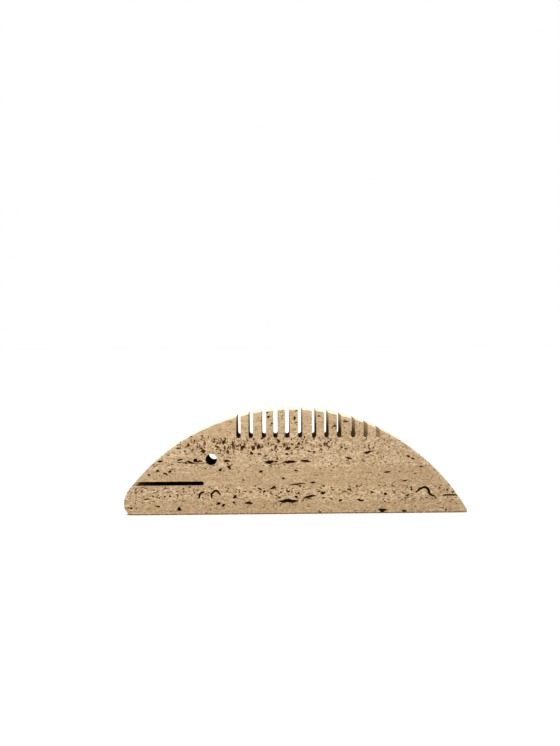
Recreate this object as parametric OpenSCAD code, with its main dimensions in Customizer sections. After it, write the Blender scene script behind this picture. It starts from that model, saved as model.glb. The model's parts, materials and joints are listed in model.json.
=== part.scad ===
// A whale cut from one slab of porous stone, resting on its flat base with its back sawn into comb teeth.
// X runs from the snout to the tail, Y through the thickness and Z up. Millimetres.
// The origin is on the base, midway along the length and the thickness.

/* [Block] */
// Length from the chin to the tail
body_length = 330; // [275:1:396]
// Height of the crown of the back above the base
body_height = 101; // [92:1:122]
// Thickness of the slab
body_thickness = 30; // [20:1:50]
// How far the crown sits towards the head from the middle of the length
crown_shift = 5; // [0:0.5:8]
// Radius of the jaw, between the back and the chin
jaw_radius = 22; // [19:0.5:27]
// Radius of the chin corner on the base
chin_radius = 10; // [6:0.5:12]
// Radius of the tail corner on the base
tail_radius = 2; // [1:0.25:4]
// Width of the eased edge round both faces
eased_edge = 1; // [0.5:0.1:1.8]

/* [Comb] */
// Width of the saw cuts between the teeth
slot_width = 4.2; // [3:0.1:5.5]
// Depth of the saw cuts below the crown
slot_depth = 27.3; // [22:0.1:36]
// Distance from the crown to the middle of the first cut, towards the head
comb_start = 49; // [44:0.5:54]
// Widths of the teeth between the cuts, from the head to the tail
tooth_widths = [7.5, 8.3, 6.9, 7.2, 8.0, 9.1, 7.6, 7.9, 9.1, 7.8, 7.8];

/* [Face] */
// Diameter of the eye, drilled straight through
eye_diameter = 10.9; // [8:0.1:15]
// Distance of the eye behind the snout
eye_back = 84.6; // [70:0.1:95]
// Height of the middle of the eye above the base
eye_height = 53.5; // [45:0.5:60]
// Height of the mouth slot between the lips
mouth_gap = 3.8; // [2.5:0.1:5]
// Depth of the mouth slot behind the snout
mouth_depth = 77.3; // [60:0.1:95]
// Height of the middle of the mouth slot above the base
mouth_height = 30.5; // [24:0.5:36]

/* [Tail] */
// Height of the slit that marks the tail
slit_gap = 1.5; // [1:0.1:3]
// Depth of the slit ahead of the tail's end
slit_depth = 23.6; // [18:0.1:40]
// Height of the middle of the slit above the base
slit_height = 17.2; // [12:0.2:24]

/* [Hidden] */
$fn = 96;
back_facets = 720;
corner_steps = 16;
lead_out = 5; // how far the outline of the ends stands clear of the back
lead_turn = 10; // how far round from the jaw and the tail it reaches that, in degrees
clear = 1; // how far every cutter runs past the surface that it opens

half_length = body_length / 2;
half_thickness = body_thickness / 2;
snout_x = -half_length;

// The back is one arc: it peaks at the crown and is tangent to the tail corner.
crown_x = -crown_shift;
tail_centre = [half_length - tail_radius, tail_radius];
tail_run = tail_centre.x - crown_x;
tail_drop = body_height - tail_radius;
back_radius = (tail_drop ^ 2 + tail_run ^ 2 - tail_radius ^ 2) / (2 * (tail_drop - tail_radius));
back_centre = [crown_x, body_height - back_radius];

// The jaw arc reaches furthest forward at the snout, inside the back arc and tangent to it.
jaw_x = snout_x + jaw_radius;
jaw_rise = sqrt((back_radius - jaw_radius) ^ 2 - (jaw_x - back_centre.x) ^ 2);
jaw_centre = [jaw_x, back_centre.y + jaw_rise];

// The chin corner is tangent to the jaw arc and to the base.
chin_run = sqrt((jaw_radius - chin_radius) ^ 2 - (jaw_centre.y - chin_radius) ^ 2);
chin_centre = [jaw_centre.x - chin_run, chin_radius];

// Directions in which neighbouring arcs touch, counted from +X towards +Z.
function direction(from, to) = atan2(to.y - from.y, to.x - from.x);
back_to_tail = direction(back_centre, tail_centre);
back_to_jaw = direction(back_centre, jaw_centre);
jaw_to_chin = direction(jaw_centre, chin_centre) + 360;
straight_down = 270;

function on_arc(centre, radius, angle) = centre + radius * [cos(angle), sin(angle)];
function arc(centre, radius, from, to) =
    [for (i = [0 : corner_steps]) on_arc(centre, radius, from + (to - from) * i / corner_steps)];

// Middle of each cut: the widths of the teeth and cuts before it, added up.
first_slot_x = crown_x - comb_start;
function slot_x(i) = i == 0 ? first_slot_x : slot_x(i - 1) + slot_width + tooth_widths[i - 1];
slot_count = len(tooth_widths) + 1;
slot_floor = body_height - slot_depth;

// Stands a flat drawing of the side view upright, centred on the thickness.
module upright(thickness) {
    rotate([90, 0, 0])
        linear_extrude(height = thickness, center = true)
            children();
}

// Half section of a disc of the slab's thickness, with both rims eased.
module rim_profile(radius) {
    polygon([
        [0, -half_thickness],
        [radius - eased_edge, -half_thickness],
        [radius, -half_thickness + eased_edge],
        [radius, half_thickness - eased_edge],
        [radius - eased_edge, half_thickness],
        [0, half_thickness]
    ]);
}

// Everything under the arc of the back.
module back_disc() {
    translate([back_centre.x, 0, back_centre.y])
        rotate([90, 0, 0])
            rotate_extrude($fn = back_facets)
                rim_profile(back_radius);
}

// Base, jaw, chin and tail in side view, standing clear of the back everywhere between the jaw and the tail.
// inset draws the same outline further in, which eases the edge where the two are blended.
module ends_outline(inset) {
    polygon(concat(
        arc(jaw_centre, jaw_radius - inset, back_to_jaw, jaw_to_chin),
        arc(chin_centre, chin_radius - inset, jaw_to_chin, straight_down),
        arc(tail_centre, tail_radius - inset, straight_down, back_to_tail + 360),
        arc(back_centre, back_radius + lead_out, back_to_tail + lead_turn, back_to_jaw - lead_turn)
    ));
}

// The whale's outline at full thickness, before the saw and the drill.
module blank() {
    intersection() {
        back_disc();
        hull() {
            upright(body_thickness)
                ends_outline(eased_edge);
            upright(body_thickness - 2 * eased_edge)
                ends_outline(0);
        }
    }
}

// One saw cut: straight sides, a round floor, open at the top and at both faces.
module comb_slot(x) {
    slot_radius = slot_width / 2;
    upright(body_thickness + 2 * clear) {
        translate([x, slot_floor + slot_radius])
            circle(r = slot_radius);
        translate([x - slot_radius, slot_floor + slot_radius])
            square([slot_width, slot_depth]);
    }
}

module eye_bore() {
    translate([snout_x + eye_back, 0, eye_height])
        rotate([90, 0, 0])
            cylinder(d = eye_diameter, h = body_thickness + 2 * clear, center = true);
}

// A level cut with a round inner end, run out past the end of the body at outer_x.
module level_slot(inner_x, outer_x, height, gap) {
    radius = gap / 2;
    towards = sign(outer_x - inner_x);
    start_x = inner_x + towards * radius;
    end_x = outer_x + towards * clear;
    upright(body_thickness + 2 * clear) {
        translate([start_x, height])
            circle(r = radius);
        translate([min(start_x, end_x), height - radius])
            square([abs(end_x - start_x), gap]);
    }
}

module stone_body() {
    color("#c9ad84")
        difference() {
            blank();
            for (i = [0 : slot_count - 1])
                comb_slot(slot_x(i));
            eye_bore();
            level_slot(snout_x + mouth_depth, snout_x, mouth_height, mouth_gap);
            level_slot(half_length - slit_depth, half_length, slit_height, slit_gap);
        }
}

stone_body();
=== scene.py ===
import json
import math
import random
from collections import namedtuple

import bmesh
import bpy
from mathutils import Matrix, Vector, noise


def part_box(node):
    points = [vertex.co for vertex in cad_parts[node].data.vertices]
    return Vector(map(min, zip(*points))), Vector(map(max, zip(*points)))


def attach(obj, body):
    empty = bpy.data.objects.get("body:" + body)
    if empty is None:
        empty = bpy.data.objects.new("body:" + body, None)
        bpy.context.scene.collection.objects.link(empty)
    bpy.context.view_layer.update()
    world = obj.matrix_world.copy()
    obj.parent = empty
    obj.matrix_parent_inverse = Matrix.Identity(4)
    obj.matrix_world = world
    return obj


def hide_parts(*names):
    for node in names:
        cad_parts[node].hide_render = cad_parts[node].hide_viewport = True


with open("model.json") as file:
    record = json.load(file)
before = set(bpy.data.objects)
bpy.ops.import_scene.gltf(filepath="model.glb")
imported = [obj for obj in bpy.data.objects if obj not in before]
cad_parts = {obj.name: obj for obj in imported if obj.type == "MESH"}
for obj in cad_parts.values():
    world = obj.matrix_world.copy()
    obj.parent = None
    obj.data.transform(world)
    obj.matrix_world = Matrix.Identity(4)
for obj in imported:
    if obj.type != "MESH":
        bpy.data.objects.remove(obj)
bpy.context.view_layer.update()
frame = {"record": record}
scene = bpy.context.scene
mm = 0.001
past_surface = 5 * mm


# ---------------------------------------------------------------- Sizes

low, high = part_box("stone_body")
length, thickness, height = high - low
half_length = length / 2
half_thickness = thickness / 2

# The back is one arc that peaks at the crown. The jaw, chin and tail are smaller arcs that touch it.
crown_shift = 5 * mm
jaw_radius = 22 * mm
chin_radius = 10 * mm
tail_radius = 2 * mm
eased_edge = 0.6 * mm

mouth_gap = 3.8 * mm
mouth_depth = 77.3 * mm
mouth_height = 30.5 * mm
slit_gap = 1.5 * mm
slit_depth = 23.6 * mm
slit_height = 17.2 * mm

record = frame["record"]
eye = next(mount for mount in record["mounts"] if mount["name"] == "eye_bore")
slots = [opening["box_m"] for opening in record["physics"]["openings"]]
slot_width = 4.2 * mm
comb_floor = min(corner[2] for corner, _ in slots) - slot_width / 2

tail_centre = Vector((half_length - tail_radius, tail_radius))
tail_run = tail_centre.x + crown_shift
tail_drop = height - tail_radius
back_radius = (tail_drop ** 2 + tail_run ** 2 - tail_radius ** 2) / (2 * (tail_drop - tail_radius))
back_centre = Vector((-crown_shift, height - back_radius))

jaw_x = jaw_radius - half_length
jaw_rise = math.sqrt((back_radius - jaw_radius) ** 2 - (jaw_x - back_centre.x) ** 2)
jaw_centre = Vector((jaw_x, back_centre.y + jaw_rise))
chin_run = math.sqrt((jaw_radius - chin_radius) ** 2 - (jaw_centre.y - chin_radius) ** 2)
chin_centre = Vector((jaw_centre.x - chin_run, chin_radius))


# ---------------------------------------------------------------- Camera

def place_camera(position, down, roll, lens, shift):
    """Looks along the thickness of the slab, tipped down and rolled by small angles in degrees."""
    camera = bpy.data.objects.new("camera", bpy.data.cameras.new("camera"))
    camera.data.sensor_width = 36
    camera.data.lens = lens
    camera.data.shift_x = shift
    tip = Matrix.Rotation(math.radians(90 - down), 4, "X")
    camera.matrix_world = Matrix.Translation(position) @ tip @ Matrix.Rotation(math.radians(roll), 4, "Z")
    scene.collection.objects.link(camera)
    scene.camera = camera


viewpoint = Vector((-18 * mm, -half_thickness - 547 * mm, 162.6 * mm))
place_camera(viewpoint, down=2.81, roll=-0.52, lens=27.84, shift=0.0058)


# ---------------------------------------------------------------- Outlines in side view

def direction(start, end):
    return math.atan2(end.y - start.y, end.x - start.x)


def arc(centre, radius, start, end, steps):
    """Points along an arc, counted anticlockwise from +X towards +Z."""
    angles = [start + (end - start) * i / steps for i in range(steps + 1)]
    return [centre + radius * Vector((math.cos(a), math.sin(a))) for a in angles]


def body_outline(inset):
    """The whale in side view, drawn in from its real edge by inset."""
    to_tail = direction(back_centre, tail_centre)
    to_jaw = direction(back_centre, jaw_centre)
    to_chin = direction(jaw_centre, chin_centre) % math.tau
    down = 1.5 * math.pi
    return (
        arc(back_centre, back_radius - inset, to_tail, to_jaw, steps=200)
        + arc(jaw_centre, jaw_radius - inset, to_jaw, to_chin, steps=16)[1:]
        + arc(chin_centre, chin_radius - inset, to_chin, down, steps=16)[1:]
        + arc(tail_centre, tail_radius - inset, down, to_tail + math.tau, steps=12)[:-1]
    )


def slot_outline(x, floor):
    """A comb cut: straight sides, a round floor, open above the back."""
    def drawn(grow):
        radius = slot_width / 2 + grow
        centre = Vector((x, floor + slot_width / 2))
        top = height + past_surface
        bottom = arc(centre, radius, math.pi, math.tau, steps=16)
        return [Vector((x - radius, top))] + bottom + [Vector((x + radius, top))]
    return drawn


def eye_outline(grow):
    centre = Vector((eye["pos_m"][0], eye["pos_m"][2]))
    return arc(centre, eye["dims"]["r_mm"] * mm + grow, 0, math.tau, steps=64)[:-1]


def level_outline(inner_x, outer_x, middle_z, gap):
    """A level cut with a round inner end, open past the end of the body at outer_x."""
    towards = math.copysign(1, outer_x - inner_x)

    def drawn(grow):
        radius = gap / 2 + grow
        centre = Vector((inner_x + towards * gap / 2, middle_z))
        facing = math.pi / 2 if towards > 0 else -math.pi / 2
        end = arc(centre, radius, facing, facing + math.pi, steps=14)
        out = outer_x + towards * past_surface
        return [Vector((out, end[0].y))] + end + [Vector((out, end[-1].y))]
    return drawn


# ---------------------------------------------------------------- Mesh helpers

def object_from(shape, name, *materials):
    """Turns a bmesh into a linked object."""
    bmesh.ops.recalc_face_normals(shape, faces=shape.faces)
    mesh = bpy.data.meshes.new(name)
    shape.to_mesh(mesh)
    shape.free()
    made = bpy.data.objects.new(name, mesh)
    for material in materials:
        mesh.materials.append(material)
    scene.collection.objects.link(made)
    return made


def loft(shape, rings):
    """Joins closed rings of points, each with the same count, and caps both ends."""
    rows = [[shape.verts.new(point) for point in ring] for ring in rings]
    count = len(rows[0])
    for near, far in zip(rows, rows[1:]):
        for i in range(count):
            j = (i + 1) % count
            shape.faces.new((near[i], near[j], far[j], far[i]))
    shape.faces.new(list(reversed(rows[0])))
    shape.faces.new(rows[-1])


def divide(shape, normal, start, end):
    """Divides the faces into strips, so that later cuts meet only small faces."""
    strip = 8 * mm
    off_grid = 0.37
    for i in range(1, int((end - start) / strip) + 1):
        everything = shape.verts[:] + shape.edges[:] + shape.faces[:]
        at = normal * (start + (i - off_grid) * strip)
        bmesh.ops.bisect_plane(shape, geom=everything, plane_co=at, plane_no=normal)


def upright(outline, y):
    return [Vector((point.x, y, point.y)) for point in outline]


def cut(body, cutter):
    """Cuts the cutter out of the body. The new walls take the cutter's material."""
    step = body.modifiers.new("cut", "BOOLEAN")
    step.operation = "DIFFERENCE"
    step.solver = "MANIFOLD"
    step.material_mode = "TRANSFER"
    step.object = cutter
    graph = bpy.context.evaluated_depsgraph_get()
    mesh = bpy.data.meshes.new_from_object(body.evaluated_get(graph))
    body.modifiers.clear()
    worn, body.data = body.data, mesh
    bpy.data.meshes.remove(worn)
    bpy.data.objects.remove(cutter)


# ---------------------------------------------------------------- Sawing and drilling

def blank(material):
    """The slab cut to the whale's outline, with rounded edges round both faces."""
    steps = 4
    edge = []
    for i in range(steps + 1):
        turn = math.radians(90 * i / steps)
        y = half_thickness - eased_edge * (1 - math.sin(turn))
        edge.append((y, eased_edge * (1 - math.cos(turn))))
    edge.reverse()
    rings = [upright(body_outline(inset), -y) for y, inset in edge]
    rings += [upright(body_outline(inset), y) for y, inset in reversed(edge)]
    shape = bmesh.new()
    loft(shape, rings)
    divide(shape, Vector((1, 0, 0)), low.x, high.x)
    divide(shape, Vector((0, 0, 1)), low.z, high.z)
    return object_from(shape, "travertine_whale", material)


def through_cutter(outline, material):
    """Runs through both faces and widens a little where it breaks through each of them."""
    flare = 0.05 * mm
    past = half_thickness + 2 * mm
    stations = [(past, flare), (half_thickness, flare), (half_thickness - flare, 0)]
    stations += [(-y, grow) for y, grow in reversed(stations)]
    shape = bmesh.new()
    loft(shape, [upright(outline(grow), y) for y, grow in stations])
    return object_from(shape, "cutter", material)


# ---------------------------------------------------------------- Open pores

class Pore:
    """One hollow in the stone, kept as points and faces until it is cut."""

    def __init__(self, points, faces):
        self.points = points
        self.faces = faces
        self.low = Vector(min(p[i] for p in points) for i in range(3))
        self.high = Vector(max(p[i] for p in points) for i in range(3))

    def apart_from(self, other, gap=0.1 * mm):
        return any(
            self.low[i] > other.high[i] + gap or other.low[i] > self.high[i] + gap for i in range(3)
        )


def ball(detail):
    """Points and faces of a ball of radius 1."""
    shape = bmesh.new()
    bmesh.ops.create_icosphere(shape, subdivisions=detail, radius=1)
    shape.verts.ensure_lookup_table()
    points = [vert.co.copy() for vert in shape.verts]
    faces = [[vert.index for vert in face.verts] for face in shape.faces]
    shape.free()
    return points, faces


balls = {detail: ball(detail) for detail in (1, 2, 3)}
dice = random.Random(7)


def hollow(centre, size, turn, detail):
    """A lumpy hollow. size is its half length along each axis, and turn tips it in side view."""
    broad_lumps = 0.6
    fine_lumps = 0.6 * broad_lumps
    seed = Vector((dice.uniform(-99, 99) for _ in range(3)))
    spin = Matrix.Rotation(math.radians(-turn), 3, "Y")
    sphere, faces = balls[detail]
    points = []
    for u in sphere:
        swell = 1 + broad_lumps * noise.noise(u * 1.4 + seed) + fine_lumps * noise.noise(u * 3.1 - seed)
        points.append(centre + spin @ Vector(u[i] * size[i] * swell for i in range(3)))
    return Pore(points, faces)


def smooth_route(points, steps):
    """A curve through the points, with some steps between each two."""
    ends = [points[0] * 2 - points[1]] + points + [points[-1] * 2 - points[-2]]
    route = []
    for a, b, c, d in zip(ends, ends[1:], ends[2:], ends[3:]):
        for i in range(steps):
            t = i / steps
            bend = 2 * a - 5 * b + 4 * c - d
            twist = 3 * b - a - 3 * c + d
            route.append(0.5 * (2 * b + (c - a) * t + bend * t ** 2 + twist * t ** 3))
    return route + [points[-1]]


def rift(path, width, depth, y, steps, sides=8, ragged=0.5, pointed=0.7):
    """A ragged winding hollow that follows a path in side view and thins out at both ends."""
    seed = Vector((dice.uniform(-99, 99) for _ in range(3)))
    route = smooth_route([Vector(point) for point in path], steps)
    last = len(route) - 1
    points, faces = [], []
    for i, here in enumerate(route):
        along = (route[min(i + 1, last)] - route[max(i - 1, 0)]).normalized()
        across = Vector((-along.y, along.x))
        fade = math.sin(math.pi * (0.03 + 0.94 * i / last)) ** pointed
        for k in range(sides):
            turn = math.tau * k / sides
            side = 1 if math.cos(turn) > 0 else -1
            spot = Vector((here.x, here.y, side * 0.01))
            lump = 1 + ragged * noise.noise(spot * 1100 + seed)
            lump += 0.7 * ragged * noise.noise(spot * 2600 - seed)
            off = across * (width / 2 * fade * lump * math.cos(turn))
            points.append(Vector((here.x + off.x, y + depth * fade * math.sin(turn), here.y + off.y)))
    for i in range(last):
        for k in range(sides):
            j = (k + 1) % sides
            faces.append([i * sides + k, i * sides + j, (i + 1) * sides + j, (i + 1) * sides + k])
    faces.append(list(range(sides - 1, -1, -1)))
    faces.append([last * sides + k for k in range(sides)])
    return Pore(points, faces)


def lens(x, z, long, tall, tilt, y, depth):
    """A flat ragged hollow with pointed ends."""
    spin = Matrix.Rotation(math.radians(tilt), 2)
    path = []
    for share in (-0.5, -0.25, 0, 0.25, 0.5):
        drift = dice.uniform(-0.14, 0.14) * tall
        path.append(Vector((x, z)) + spin @ Vector((share * long, drift)))
    steps = max(2, min(7, round(long / mm / 2.4)))
    return rift(path, tall, depth, y, steps=steps, ragged=0.4, pointed=0.85)


front, back = -half_thickness, half_thickness

# The hollows that mark the front face, bed by bed from the base up: middle X and Z, length, height, tilt.
front_lenses = [
    # lowest bed
    (-6.8, 12.7, 16.5, 3.3, 0), (-44.8, 10.9, 7, 2.2, 0), (13.4, 16.7, 11, 2.2, 12),
    (26.4, 20.1, 4.5, 2.1, 12), (62.3, 12.8, 6.5, 1.9, -14), (83.4, 3.2, 7.5, 2.6, 0),
    (83.2, 1.4, 2.8, 3, 0), (104.5, 1.6, 4, 2.1, 0), (23.3, 1.8, 2.2, 1.4, 0), (144.4, 2.7, 1.4, 3, 0),
    (43.1, 12.7, 3.6, 1.8, 35), (-111.9, 5.5, 3.5, 3.3, 0), (-157.7, 6.9, 2.5, 2, 0),
    (-143.2, 15.4, 6, 1.1, 0), (-132.7, 8.6, 5, 1.1, 0), (-74.1, 10.6, 4, 2.4, 10),
    (-69.3, 9, 3.5, 2.2, 40), (-59.2, 11.7, 2.2, 1.9, 0),
    # porous bed
    (-57.7, 17, 3, 2.7, 20), (-21.6, 25.3, 6, 2, 15), (-7, 22, 3.5, 1.6, -10), (0.4, 16.7, 2.5, 1.8, 0),
    (51.9, 23.4, 3.4, 1.6, 0), (73.9, 20.6, 4, 1.5, -10), (86.4, 18.6, 2.6, 2.3, 0),
    (107.5, 17.1, 3.5, 1.5, 30), (111.4, 22.7, 2, 1.8, 0), (-34, 24.5, 4.5, 1.3, -30),
    (-30, 22, 3, 1.6, 50),
    # smooth bed
    (1.9, 29, 14.5, 1.3, 5), (16.8, 30.3, 5, 1.6, 4), (-11.6, 34.9, 2, 1.6, 0),
    (-49.9, 33.3, 2.2, 1.4, 0), (88, 39.9, 7, 1.3, 0), (104.8, 31.4, 6, 1.2, 15),
    (-33, 41.3, 4, 1.8, 15), (0.6, 42.1, 3.5, 1.3, 0), (-71.9, 43.6, 3.5, 2, 20),
    (-63.5, 45.4, 4.5, 1.7, -45), (-131.9, 42.7, 3.3, 2, 0), (-124.3, 39.7, 4.4, 1.5, -25),
    (-119.9, 42.1, 2.5, 2, 0), (-140.1, 38.9, 2.5, 1.5, 0), (120.3, 44.7, 4, 1.1, 0),
    # streaked bed, at the height of the eye
    (-5.5, 50.6, 12, 2.5, 0), (-24.8, 50.8, 8, 2.8, 0), (9.8, 51, 9.5, 2.1, 0),
    (-65.6, 51.9, 6, 1.9, 0), (-95.6, 52.9, 3.6, 3.3, 0), (-91.4, 52.2, 5, 1.5, 0),
    (-100.6, 51, 7, 1.8, -15), (-129.5, 51.8, 4.5, 1.8, 0), (69.5, 59.1, 8.4, 2, 12),
    (51.2, 53.5, 6, 1.6, -20), (-110.2, 53.5, 5, 1.3, 10), (108.3, 54.9, 3.5, 1.6, -30),
    (112.2, 52.7, 3, 1.3, -30), (-41.5, 59.4, 3.5, 2, -30), (-7.9, 57.9, 3.5, 1.5, 0),
    (13.8, 60.3, 4, 1.1, 0), (18.1, 59.8, 3, 1.5, -20),
    # vuggy bed, under the comb
    (-87.6, 61.5, 4.2, 3, -40), (-74.1, 65.4, 3.5, 2.2, 0), (-68.3, 70, 3, 4, 0),
    (-59.7, 67.5, 2.2, 6.8, 0), (-50.1, 64.5, 3, 5.5, -30), (-40, 63.9, 3, 4, 0),
    (-35.2, 65.3, 3, 5, 0), (-18.6, 64.7, 2, 4, 0), (-15.9, 70.4, 2.6, 4, 20), (-10.4, 67, 2, 4, 0),
    (-6.9, 63, 5, 3, 10), (3.3, 67.9, 2.5, 2.5, 0), (1.3, 64.5, 3, 2, 0), (28.2, 67.2, 1.8, 4, 20),
    (44.3, 64.1, 1.9, 1.9, 0), (-101.9, 67.3, 2.3, 3.8, -20), (-112.1, 64.6, 4, 1.5, 10),
    (-93.5, 65.6, 1.6, 2, 0), (-86.3, 68.8, 1.8, 4, 0), (-77.6, 70.2, 2, 2, 0),
    (-96.2, 71.4, 1.5, 3, 0), (-98.3, 62.3, 1.3, 2.4, 20), (-89.6, 64.1, 2.6, 2, 0),
    (-73.8, 69.2, 1.5, 2.4, 0), (-71, 62.5, 2.2, 1.1, 0), (-66.6, 73, 1.4, 3, 0),
    (-67.2, 64.4, 1.6, 4.5, 0), (-63.8, 65.3, 1.5, 2.1, 0), (-58.5, 65.3, 2, 3, 10),
    (-55.2, 63.3, 2.6, 1.2, 0), (-52.3, 67.1, 1.4, 3, 0), (-37.5, 68, 1.5, 3, 0),
    (-31.3, 65.5, 1.8, 2, 0), (-34.2, 58.3, 4, 1.1, 20), (-28.5, 56.3, 2.6, 1.5, 25),
    (-25.4, 68, 1.3, 2.6, 0), (-21.5, 67.6, 4, 0.9, 0), (-22, 62.3, 1.4, 2.6, 20),
    (-2.5, 67.3, 2.1, 1.5, 0), (7, 69.6, 1.6, 1.6, 0), (7, 63.9, 2.3, 1.6, 20),
    (-3.4, 58.8, 1.3, 1.6, 0), (24.6, 62.3, 1.6, 2.1, 0), (30.8, 65.6, 2.7, 1.2, -40),
    (48.4, 62.6, 3, 1.5, 0), (-17.2, 54.2, 2.2, 1.2, 0), (-18.6, 50.9, 3, 1.5, 0),
    # teeth
    (-25.5, 93.8, 2, 2, 0), (-22, 87.5, 1.5, 2, 0), (-0.6, 92.4, 2, 3.2, 15), (22.7, 94.3, 3, 1.1, 0),
    (38, 84.6, 3.5, 1.3, 0), (48.1, 89.1, 5, 1.3, -10),
]

# Cracks in the front face: the points that each passes through, its width and its depth.
front_cracks = [
    ([(115.2, 19.8), (120.1, 23.6), (124.9, 25), (127.7, 21.6), (129.1, 18.2), (134, 15.8)], 2.5, 3.5),
    ([(-92.8, 15.6), (-91.5, 20.4), (-87.2, 22.4)], 2.4, 2),
    ([(-80.3, 15.6), (-80.4, 19.8), (-77.8, 22.7), (-74.8, 22.8), (-71.8, 18.6)], 2.2, 2),
    ([(-118, 51.6), (-108, 51), (-97, 49.6), (-86.5, 49.4)], 0.8, 3),
    ([(-60, 49), (-63, 46.5), (-61.5, 44.6)], 1.2, 2.5),
    ([(-30, 49), (-22, 48.6), (-12, 48.8)], 0.6, 2),
]

# Beds of the stone: bottom and top in mm, hollows tried on 1000 square mm of face, and the range of
# their half length in mm and of their height over their length.
Bed = namedtuple("Bed", "bottom top density half flatness")
lowest_bed = Bed(0, 13, 44, (0.3, 0.8), (0.5, 0.9))
porous_bed = Bed(13, 28, 100, (0.3, 1.3), (0.5, 1.0))
smooth_bed = Bed(28, 45, 36, (0.3, 0.7), (0.4, 0.9))
streaked_bed = Bed(45, 60, 76, (0.3, 1.0), (0.35, 0.8))
vuggy_bed = Bed(60, 76, 100, (0.4, 1.3), (0.6, 1.7))
teeth_bed = Bed(76, 101, 34, (0.3, 0.8), (0.6, 1.2))
beds = [lowest_bed, porous_bed, smooth_bed, streaked_bed, vuggy_bed, teeth_bed]
vuggy_bed_thins_at = 55 * mm


def bed_at(z):
    return next((bed for bed in beds if bed.bottom * mm <= z < bed.top * mm), teeth_bed)


def inside_outline(x, z, margin):
    """True where a point in side view is at least margin inside the whale."""
    if z < margin or x < chin_centre.x - 8 * mm and z < 8 * mm:
        return False
    if x < jaw_centre.x and z < jaw_centre.y + 10 * mm:
        return (Vector((x, z)) - jaw_centre).length < jaw_radius - margin
    return (Vector((x, z)) - back_centre).length < back_radius - margin


def clear_of_cuts(x, z, margin):
    """True where a point in side view isn't in a cut, the eye or the mouth."""
    eye_centre = Vector((eye["pos_m"][0], eye["pos_m"][2]))
    if (Vector((x, z)) - eye_centre).length < eye["dims"]["r_mm"] * mm + margin:
        return False
    if abs(z - mouth_height) < mouth_gap / 2 + margin and x < mouth_depth - half_length + margin:
        return False
    return not any(a[0] - margin < x < b[0] + margin and z > a[2] - margin for a, b in slots)


def random_hollow(point, bed):
    """A small hollow at a point on the surface, shaped by the bed that it lies in."""
    size_low, size_high = bed.half
    half = size_low + (size_high - size_low) * dice.random() ** 2.2
    flat = dice.uniform(*bed.flatness)
    size = Vector((half, half * dice.uniform(0.6, 1.2), half * flat)) * mm
    turn = dice.gauss(0, 18)
    return hollow(point, size, turn, detail=2 if half > 0.65 else 1)


def random_stroke(x, z, y, bed):
    """A short bent hollow, lying along most beds and standing up in the vuggy one."""
    long = dice.uniform(1.4, 1.6 + 2.2 * bed.half[1]) * mm
    lean = math.radians(dice.gauss(90, 28) if bed is vuggy_bed else dice.gauss(0, 26))
    way = Vector((math.cos(lean), math.sin(lean))) * long / 2
    bend = Vector((-way.y, way.x)) * dice.uniform(-0.45, 0.45)
    middle = Vector((x, z))
    width = dice.uniform(0.55, 1.15) * mm
    return rift([middle - way, middle + bend, middle + way], width, width * 0.9, y, sides=6, steps=3)


def scatter_faces():
    """Small hollows over the front and the back face, in patches."""
    made = []
    for y in (front, back):
        for bed in beds:
            tries = int(bed.density * length / mm * (bed.top - bed.bottom) / 1000)
            for _ in range(tries):
                x = dice.uniform(-half_length, half_length)
                z = dice.uniform(bed.bottom, bed.top) * mm
                patch = noise.noise(Vector((x * 35, y * 9, z * 110)))
                if patch < dice.uniform(-0.55, 0.35):
                    continue
                if bed is vuggy_bed and x > vuggy_bed_thins_at and dice.random() < 0.7:
                    continue
                if not (inside_outline(x, z, 0.8 * mm) and clear_of_cuts(x, z, 0.3 * mm)):
                    continue
                if dice.random() < 0.45:
                    made.append(random_stroke(x, z, y, bed))
                else:
                    made.append(random_hollow(Vector((x, y, z)), bed))
    return made


def scatter_edges():
    """Small hollows over the base, the back and the walls of the comb cuts."""
    made = []
    on_base, tries_on_back, on_each_wall = 130, 420, 9
    certain_density = 84
    for _ in range(on_base):
        x = dice.uniform(chin_centre.x, tail_centre.x)
        made.append(random_hollow(Vector((x, dice.uniform(front, back), 0)), porous_bed))
    for _ in range(tries_on_back):
        angle = dice.uniform(direction(back_centre, tail_centre), direction(back_centre, jaw_centre))
        at = back_centre + back_radius * Vector((math.cos(angle), math.sin(angle)))
        bed = bed_at(at.y)
        if dice.random() * certain_density < bed.density:
            made.append(random_hollow(Vector((at.x, dice.uniform(front, back), at.y)), bed))
    for corner, opposite in slots:
        for x in (corner[0], opposite[0]):
            for _ in range(on_each_wall):
                z = dice.uniform(corner[2], height)
                made.append(random_hollow(Vector((x, dice.uniform(front, back), z)), teeth_bed))
    return made


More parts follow.
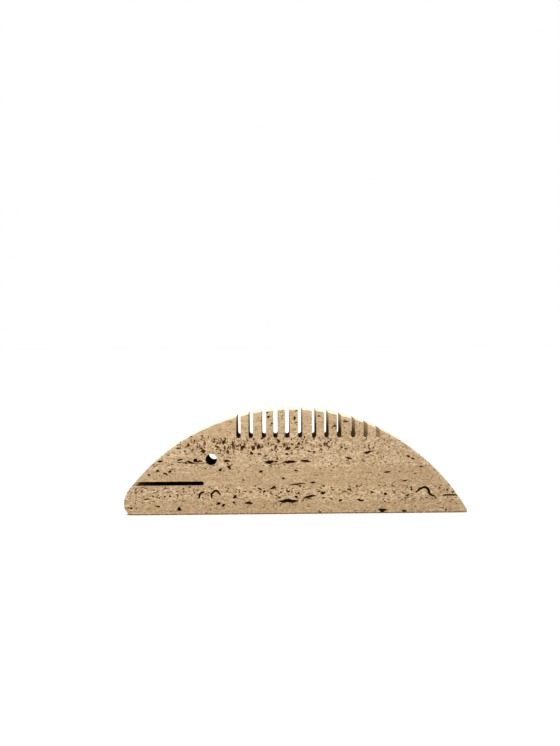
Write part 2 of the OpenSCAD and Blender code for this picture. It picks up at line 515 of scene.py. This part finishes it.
def marked_hollows():
    """The hollows and cracks that mark the front face, and large hollows at random on the back face."""
    made = []
    large_on_back = 70
    for x, z, long, tall, tilt in front_lenses:
        shallow = vuggy_bed.bottom < z < vuggy_bed.top
        depth = (0.65 if shallow else 1.15) * max(1.5, 0.8 * min(tall, long))
        if long > 1.5 * tall or tall > 1.5 * long:
            if tall > long:
                long, tall, tilt = tall, long, tilt + 90
            made.append(lens(x * mm, z * mm, 1.2 * long * mm, 1.25 * tall * mm, tilt, front, depth * mm))
        else:
            size = Vector((0.62 * long, depth, 0.62 * tall)) * mm
            made.append(hollow(Vector((x * mm, front, z * mm)), size, tilt, detail=3))
        near_x = x * mm + dice.gauss(0, 1.6) * mm
        near_z = z * mm + dice.gauss(0, 1.4) * mm
        if inside_outline(near_x, near_z, 1 * mm) and clear_of_cuts(near_x, near_z, 0.5 * mm):
            made.append(random_stroke(near_x, near_z, front, bed_at(near_z)))
    for path, width, depth in front_cracks:
        route = [(x * mm, z * mm) for x, z in path]
        made.append(rift(route, width * mm, depth * mm, front, steps=6, ragged=0.35, pointed=0.25))
    for _ in range(large_on_back):
        bed = dice.choice(beds)
        x = dice.uniform(-150, 150) * mm
        z = dice.uniform(bed.bottom, bed.top) * mm
        if inside_outline(x, z, 2 * mm) and clear_of_cuts(x, z, 2 * mm):
            tall = dice.uniform(1.2, 3) * mm
            made.append(lens(x, z, dice.uniform(2.5, 12) * mm, tall, dice.gauss(0, 12), back, 0.8 * tall))
    return made


def apart(pores):
    """Sorts the hollows into groups in which none touches another."""
    groups = []
    for pore in pores:
        for group in groups:
            if all(pore.apart_from(other) for other in group):
                group.append(pore)
                break
        else:
            groups.append([pore])
    return groups


def pore_cutter(group, material):
    shape = bmesh.new()
    for pore in group:
        verts = [shape.verts.new(point) for point in pore.points]
        for face in pore.faces:
            shape.faces.new([verts[i] for i in face])
    return object_from(shape, "cutter", material)


# ---------------------------------------------------------------- Node maths

class Wire:
    """The output of a node, which plain arithmetic turns into Math nodes."""

    def __init__(self, finish, socket):
        self.finish = finish
        self.socket = socket

    def maths(self, operation, *values):
        return self.finish.node("ShaderNodeMath", {"operation": operation}, dict(enumerate(values)))

    def __add__(self, other):
        return self.maths("ADD", self, other)

    def __radd__(self, other):
        return self.maths("ADD", other, self)

    def __sub__(self, other):
        return self.maths("SUBTRACT", self, other)

    def __rsub__(self, other):
        return self.maths("SUBTRACT", other, self)

    def __mul__(self, other):
        return self.maths("MULTIPLY", self, other)

    def __rmul__(self, other):
        return self.maths("MULTIPLY", other, self)

    def least(self, other):
        return self.maths("MINIMUM", self, other)

    def size(self):
        return self.maths("ABSOLUTE", self)

    def root(self):
        return self.maths("SQRT", self)


class Finish:
    """A material and its nodes."""

    def __init__(self, name):
        self.material = bpy.data.materials.new(name)
        self.material.use_nodes = True
        self.nodes = self.material.node_tree.nodes
        self.links = self.material.node_tree.links
        self.nodes.clear()

    def node(self, kind, settings, inputs, output=0):
        """Adds a node from its settings and the values or wires of its sockets, by name or number."""
        made = self.nodes.new(kind)
        for key, value in settings.items():
            if key == "stops":
                self.set_stops(made.color_ramp, value)
            else:
                setattr(made, key, value)
        for key, value in inputs.items():
            if isinstance(value, Wire):
                self.links.new(value.socket, made.inputs[key])
            else:
                made.inputs[key].default_value = value
        return Wire(self, made.outputs[output])

    @staticmethod
    def set_stops(ramp, stops):
        while len(ramp.elements) > 1:
            ramp.elements.remove(ramp.elements[-1])
        ramp.elements[0].position, ramp.elements[0].color = stops[0][0], (*stops[0][1], 1)
        for place, colour in stops[1:]:
            ramp.elements.new(place).color = (*colour, 1)

    def place(self):
        """Position on the object, in millimetres."""
        spot = self.node("ShaderNodeTexCoord", {}, {}, "Object")
        return self.node("ShaderNodeVectorMath", {"operation": "SCALE"}, {0: spot, "Scale": 1000.0})

    def stretched(self, vector, x, y, z):
        return self.node("ShaderNodeVectorMath", {"operation": "MULTIPLY"}, {0: vector, 1: (x, y, z)})

    def parts(self, vector):
        return [self.node("ShaderNodeSeparateXYZ", {}, {0: vector}, axis) for axis in range(3)]

    def joined(self, x, y, z):
        return self.node("ShaderNodeCombineXYZ", {}, {0: x, 1: y, 2: z})

    def cloud(self, vector, scale, detail, roughness=0.55):
        inputs = {"Vector": vector, "Scale": scale, "Detail": detail, "Roughness": roughness}
        return self.node("ShaderNodeTexNoise", {}, inputs)

    def between(self, value, start, end):
        """0 below start and 1 above end, with a smooth rise between. Start may be above end."""
        return self.node("ShaderNodeMapRange", {"interpolation_type": "SMOOTHSTEP"},
                         {"Value": value, "From Min": start, "From Max": end})

    def blend(self, amount, first, second):
        """The first colour with some amount of the second mixed in. Each is a wire or three numbers."""
        first, second = [(*c, 1) if isinstance(c, tuple) else c for c in (first, second)]
        return self.node("ShaderNodeMix", {"data_type": "RGBA"}, {0: amount, 6: first, 7: second}, 2)

    def ramp(self, value, stops):
        return self.node("ShaderNodeValToRGB", {"stops": stops}, {0: value})

    def bump(self, height, depth, strength=1.0):
        return self.node("ShaderNodeBump", {}, {"Height": height, "Distance": depth, "Strength": strength})

    def surface(self, **sockets):
        made = self.nodes.new("ShaderNodeBsdfPrincipled")
        for key, value in sockets.items():
            socket = made.inputs[key.replace("_", " ")]
            if isinstance(value, Wire):
                self.links.new(value.socket, socket)
            else:
                socket.default_value = value
        end = self.nodes.new("ShaderNodeOutputMaterial")
        self.links.new(made.outputs[0], end.inputs["Surface"])
        return self.material


# ---------------------------------------------------------------- Finishes

def stone_colour_and_painted_light(finish):
    """Colour, specks, grain and mottling of the travertine, the same on every face cut through it, with
    painted shade and painted highlights mixed in.
    """
    here = finish.place()
    x, y, z = finish.parts(here)
    sway = (finish.cloud(here, 0.018, 2) - 0.5) * 9 + (finish.cloud(here, 0.07, 2) - 0.5) * 2.5
    bed = z + sway
    layered = finish.joined(x * 0.05, y * 0.05, bed)

    tan = finish.ramp(bed * (1 / teeth_bed.top), [
        (0.00, (0.395, 0.258, 0.119)), (0.12, (0.395, 0.258, 0.119)), (0.16, (0.490, 0.328, 0.165)),
        (0.24, (0.490, 0.328, 0.165)), (0.29, (0.433, 0.285, 0.140)), (0.43, (0.439, 0.288, 0.142)),
        (0.48, (0.515, 0.348, 0.181)), (0.58, (0.525, 0.357, 0.188)), (0.70, (0.515, 0.349, 0.180)),
        (0.78, (0.500, 0.333, 0.165)), (1.00, (0.515, 0.347, 0.175)),
    ])
    # Painted shade: the stone darkens towards the tail, as if the light fell off away from the head.
    tan = finish.blend(finish.between(x, 10, 165) * 0.60, tan, (0.32, 0.20, 0.090))
    streaks = finish.cloud(layered, 0.55, 4, 0.6)
    tan = finish.blend(finish.between(streaks, 0.42, 0.62) * 0.35, tan, (0.40, 0.255, 0.130))
    tan = finish.blend(finish.between(streaks, 0.50, 0.34) * 0.40, tan, (0.64, 0.470, 0.290))

    mottle = finish.cloud(finish.stretched(here, 0.8, 0.8, 1.1), 0.24, 4, 0.62)
    porous = finish.between(bed, 11, 16) * finish.between(bed, 29, 24)
    vuggy = finish.between(bed, 43, 48) * finish.between(bed, 79, 74)
    open_beds = porous + vuggy
    cream = finish.between(mottle, 0.50, 0.64) * (0.18 + 0.36 * open_beds)
    brown = finish.between(mottle, 0.48, 0.35) * (0.22 + 0.40 * open_beds)
    tan = finish.blend(cream, tan, (0.72, 0.55, 0.355))
    tan = finish.blend(brown, tan, (0.33, 0.20, 0.095))

    # Painted shade: a dark line along the bottom edge, where the base meets the floor.
    tan = finish.blend(finish.between(z, 1.5, 0.75) * 0.95, tan, (0.070, 0.040, 0.018))

    from_face, from_back, _ = depth_from_faces(finish)
    # Painted highlight: the top of the back is turned cream, less near the faces and fading towards the
    # tail.
    painted_top_highlight = finish.between(from_back, 0.7, 0.2) * (0.25 + 0.30 * finish.between(from_face, 0.4, 5))
    tan = finish.blend(painted_top_highlight * (1 - 0.75 * finish.between(x, 10, 100)), tan, (0.82, 0.68, 0.49))
    # Painted light: the stone within 7 mm of the back is lightened, as if lit from above.
    tan = finish.blend(finish.between(from_back, 7, 0.5) * 0.22, tan, (0.74, 0.58, 0.38))

    veins = finish.cloud(finish.stretched(here, 0.16, 0.16, 1.0), 0.16, 3, 0.5)
    thread = finish.between((veins - 0.5).size(), 0.012, 0.002) * finish.between(mottle, 0.46, 0.56)
    tan = finish.blend(thread * 0.45, tan, (0.25, 0.145, 0.068))

    grain = finish.cloud(finish.stretched(here, 0.62, 0.62, 1.0), 0.80, 5, 0.68)
    light_grain = finish.between(grain, 0.51, 0.66) * (0.46 + 0.18 * open_beds)
    dark_grain = finish.between(grain, 0.49, 0.34) * (0.50 + 0.20 * open_beds)
    tan = finish.blend(light_grain, tan, (0.76, 0.60, 0.40))
    tan = finish.blend(dark_grain, tan, (0.23, 0.130, 0.052))

    flecks = finish.cloud(finish.stretched(here, 0.30, 0.30, 0.85), 0.95, 3, 0.6)
    fleck = finish.between(flecks, 0.40, 0.345) * (0.60 + 0.35 * open_beds)
    tan = finish.blend(fleck, tan, (0.13, 0.062, 0.020))

    speck_place = finish.stretched(here, 0.75, 0.75, 1.1)
    speck_cells = {"Vector": speck_place, "Scale": 0.5, "Randomness": 1.0}
    pinholes = finish.node("ShaderNodeTexVoronoi", {}, speck_cells, "Distance")
    chance = finish.parts(finish.node("ShaderNodeTexVoronoi", {}, speck_cells, "Color"))[0]
    open_enough = finish.between(chance, 0.80 - 0.35 * open_beds, 0.81 - 0.35 * open_beds)
    specks = finish.between(pinholes + (grain - 0.5) * 0.25, 0.34, 0.16) * open_enough
    tan = finish.blend(specks * 0.8, tan, (0.11, 0.052, 0.018))
    return tan, specks, grain, mottle


def depth_from_faces(finish):
    """How far a point lies under the nearer face, under the arc of the back and over the base, in mm."""
    x, y, z = finish.parts(finish.place())
    from_face = half_thickness / mm - y.size()
    run, rise = x - back_centre.x / mm, z - back_centre.y / mm
    from_back = back_radius / mm - (run * run + rise * rise).root()
    return from_face, from_back, z


def honed_stone():
    """The sawn and honed faces: matt, with pinholes and fine grain."""
    finish = Finish("honed_travertine")
    tan, specks, grain, mottle = stone_colour_and_painted_light(finish)
    relief = grain * 0.25 + mottle * 0.35 - specks * 1.0
    return finish.surface(
        Base_Color=tan,
        Roughness=0.50 + 0.16 * mottle + 0.25 * specks,
        IOR=1.5,
        Normal=finish.bump(relief, 0.35 * mm, 0.8),
    )


def comb_wall():
    """Walls of the comb cuts: the same stone, with painted shade that darkens it the deeper it lies and
    most at the floor.
    """
    finish = Finish("sawn_travertine")
    tan, specks, grain, mottle = stone_colour_and_painted_light(finish)
    _, below_back, z = depth_from_faces(finish)
    # Painted shade: darker the further the wall lies below the back.
    tan = finish.blend(finish.between(below_back, 1, 18) * 0.90, tan, (0.070, 0.044, 0.024))
    # Painted shade: near black close to the floor of each cut.
    painted_floor_shade = finish.between(z, comb_floor / mm + 3, comb_floor / mm)
    tan = finish.blend(painted_floor_shade * 0.55, tan, (0.012, 0.008, 0.004))
    return finish.surface(
        Base_Color=tan,
        Roughness=0.68 + 0.12 * mottle,
        Specular_IOR_Level=0.0,
        Normal=finish.bump(grain * 0.5 - specks, 0.3 * mm, 0.8),
    )


def shadowed_cut():
    """Walls of the eye, the mouth and the tail slit, which are dark right up to their edges."""
    finish = Finish("shadowed_travertine")
    tan, _, grain, _ = stone_colour_and_painted_light(finish)
    x = finish.parts(finish.place())[0]
    near_end = finish.between(x.size(), 128, 162)
    tan = finish.blend(0.97 - 0.34 * near_end, tan, (0.009, 0.006, 0.003))
    return finish.surface(
        Base_Color=tan,
        Roughness=0.8,
        Specular_IOR_Level=0.0,
        Normal=finish.bump(grain, 0.3 * mm, 0.8),
    )


def pore_wall():
    """Inside the open pores: crusted brown stone, with painted shade that darkens it the deeper it lies.
    """
    finish = Finish("pore_travertine")
    here = finish.place()
    crust = finish.cloud(here, 1.4, 4, 0.65)
    from_face, from_back, from_base = depth_from_faces(finish)
    under = from_face.least(from_back).least(from_base)
    # Painted shade: the pore walls go from brown to near black with depth, and the pale crust fades there
    # too.
    painted_pore_shade = finish.between(under + (crust - 0.5) * 0.9, 0.12, 1.6)
    brown = finish.blend(painted_pore_shade, (0.25, 0.130, 0.045), (0.022, 0.009, 0.003))
    pale_crust = finish.between(crust, 0.55, 0.72) * (0.30 - 0.25 * painted_pore_shade)
    brown = finish.blend(pale_crust, brown, (0.50, 0.35, 0.20))
    return finish.surface(
        Base_Color=brown,
        Roughness=0.85,
        Specular_IOR_Level=0.0,
        Normal=finish.bump(crust, 0.6 * mm, 1.0),
    )


def floor_finish():
    finish = Finish("pale_floor")
    paper = finish.cloud(finish.place(), 0.02, 2)
    tone = finish.blend(paper, (0.44, 0.44, 0.44), (0.46, 0.46, 0.46))
    return finish.surface(Base_Color=tone, Roughness=0.9)


# ---------------------------------------------------------------- The whale

def mark_sharp_edges(mesh):
    """Makes an edge sharp at a corner, at a change of finish and round a flat face, to shade it flat."""
    corner, bend = math.radians(38), math.radians(3)
    shape = bmesh.new()
    shape.from_mesh(mesh)
    for face in shape.faces:
        face.smooth = True
    for edge in shape.edges:
        if len(edge.link_faces) != 2:
            continue
        one, two = edge.link_faces
        angle = one.normal.angle(two.normal, 0)
        flat = max(abs(one.normal.y), abs(two.normal.y), abs(one.normal.z), abs(two.normal.z)) > 0.9999
        new_finish = one.material_index != two.material_index
        edge.smooth = not (new_finish or angle > corner or flat and angle > bend)
    shape.to_mesh(mesh)
    shape.free()


def keep_largest_part(mesh):
    """Drops the crumbs that the hollows cut free."""
    shape = bmesh.new()
    shape.from_mesh(mesh)
    unseen = set(shape.verts)
    parts = []
    while unseen:
        seed = unseen.pop()
        part, reached = [seed], [seed]
        while reached:
            for edge in reached.pop().link_edges:
                for vert in edge.verts:
                    if vert in unseen:
                        unseen.remove(vert)
                        part.append(vert)
                        reached.append(vert)
        parts.append(part)
    parts.sort(key=len)
    for part in parts[:-1]:
        bmesh.ops.delete(shape, geom=part, context="VERTS")
    shape.to_mesh(mesh)
    shape.free()


def carve_whale():
    honed, sawn, dark, pores = honed_stone(), comb_wall(), shadowed_cut(), pore_wall()
    whale = blank(honed)
    for corner, opposite in slots:
        middle = (corner[0] + opposite[0]) / 2
        cut(whale, through_cutter(slot_outline(middle, comb_floor), sawn))
    mouth = level_outline(mouth_depth - half_length, -half_length, mouth_height, mouth_gap)
    tail_slit = level_outline(half_length - slit_depth, half_length, slit_height, slit_gap)
    for outline in (eye_outline, mouth, tail_slit):
        cut(whale, through_cutter(outline, dark))
    for group in apart(marked_hollows() + scatter_faces() + scatter_edges()):
        cut(whale, pore_cutter(group, pores))
    keep_largest_part(whale.data)
    mark_sharp_edges(whale.data)
    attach(whale, "root")
    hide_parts("stone_body")


# ---------------------------------------------------------------- Floor and light

def lay_floor():
    shape = bmesh.new()
    bmesh.ops.create_grid(shape, x_segments=1, y_segments=1, size=20)
    floor = object_from(shape, "floor", floor_finish())


def light_studio():
    """A pale room, brighter behind the stone than in front, and one broad soft light from above."""
    room = bpy.data.worlds.new("pale_room")
    room.use_nodes = True
    nodes, links = room.node_tree.nodes, room.node_tree.links
    way = nodes.new("ShaderNodeTexCoord")
    axes = nodes.new("ShaderNodeSeparateXYZ")
    depth = nodes.new("ShaderNodeMapRange")
    depth.inputs["From Min"].default_value = -0.4
    depth.inputs["From Max"].default_value = 0.35
    depth.inputs["To Min"].default_value = 0.8
    depth.inputs["To Max"].default_value = 1.0
    links.new(way.outputs["Generated"], axes.inputs[0])
    links.new(axes.outputs["Y"], depth.inputs["Value"])
    links.new(depth.outputs[0], nodes["Background"].inputs["Strength"])
    nodes["Background"].inputs["Color"].default_value = (1, 1, 1, 1)
    scene.world = room

    overhead = bpy.data.objects.new("overhead", bpy.data.lights.new("overhead", "SUN"))
    overhead.data.energy = 5.2
    overhead.data.angle = math.radians(22)
    overhead.rotation_euler = (math.radians(8), math.radians(-13), 0)
    scene.collection.objects.link(overhead)
    scene.view_settings.view_transform = "Standard"


lay_floor()
light_studio()
carve_whale()
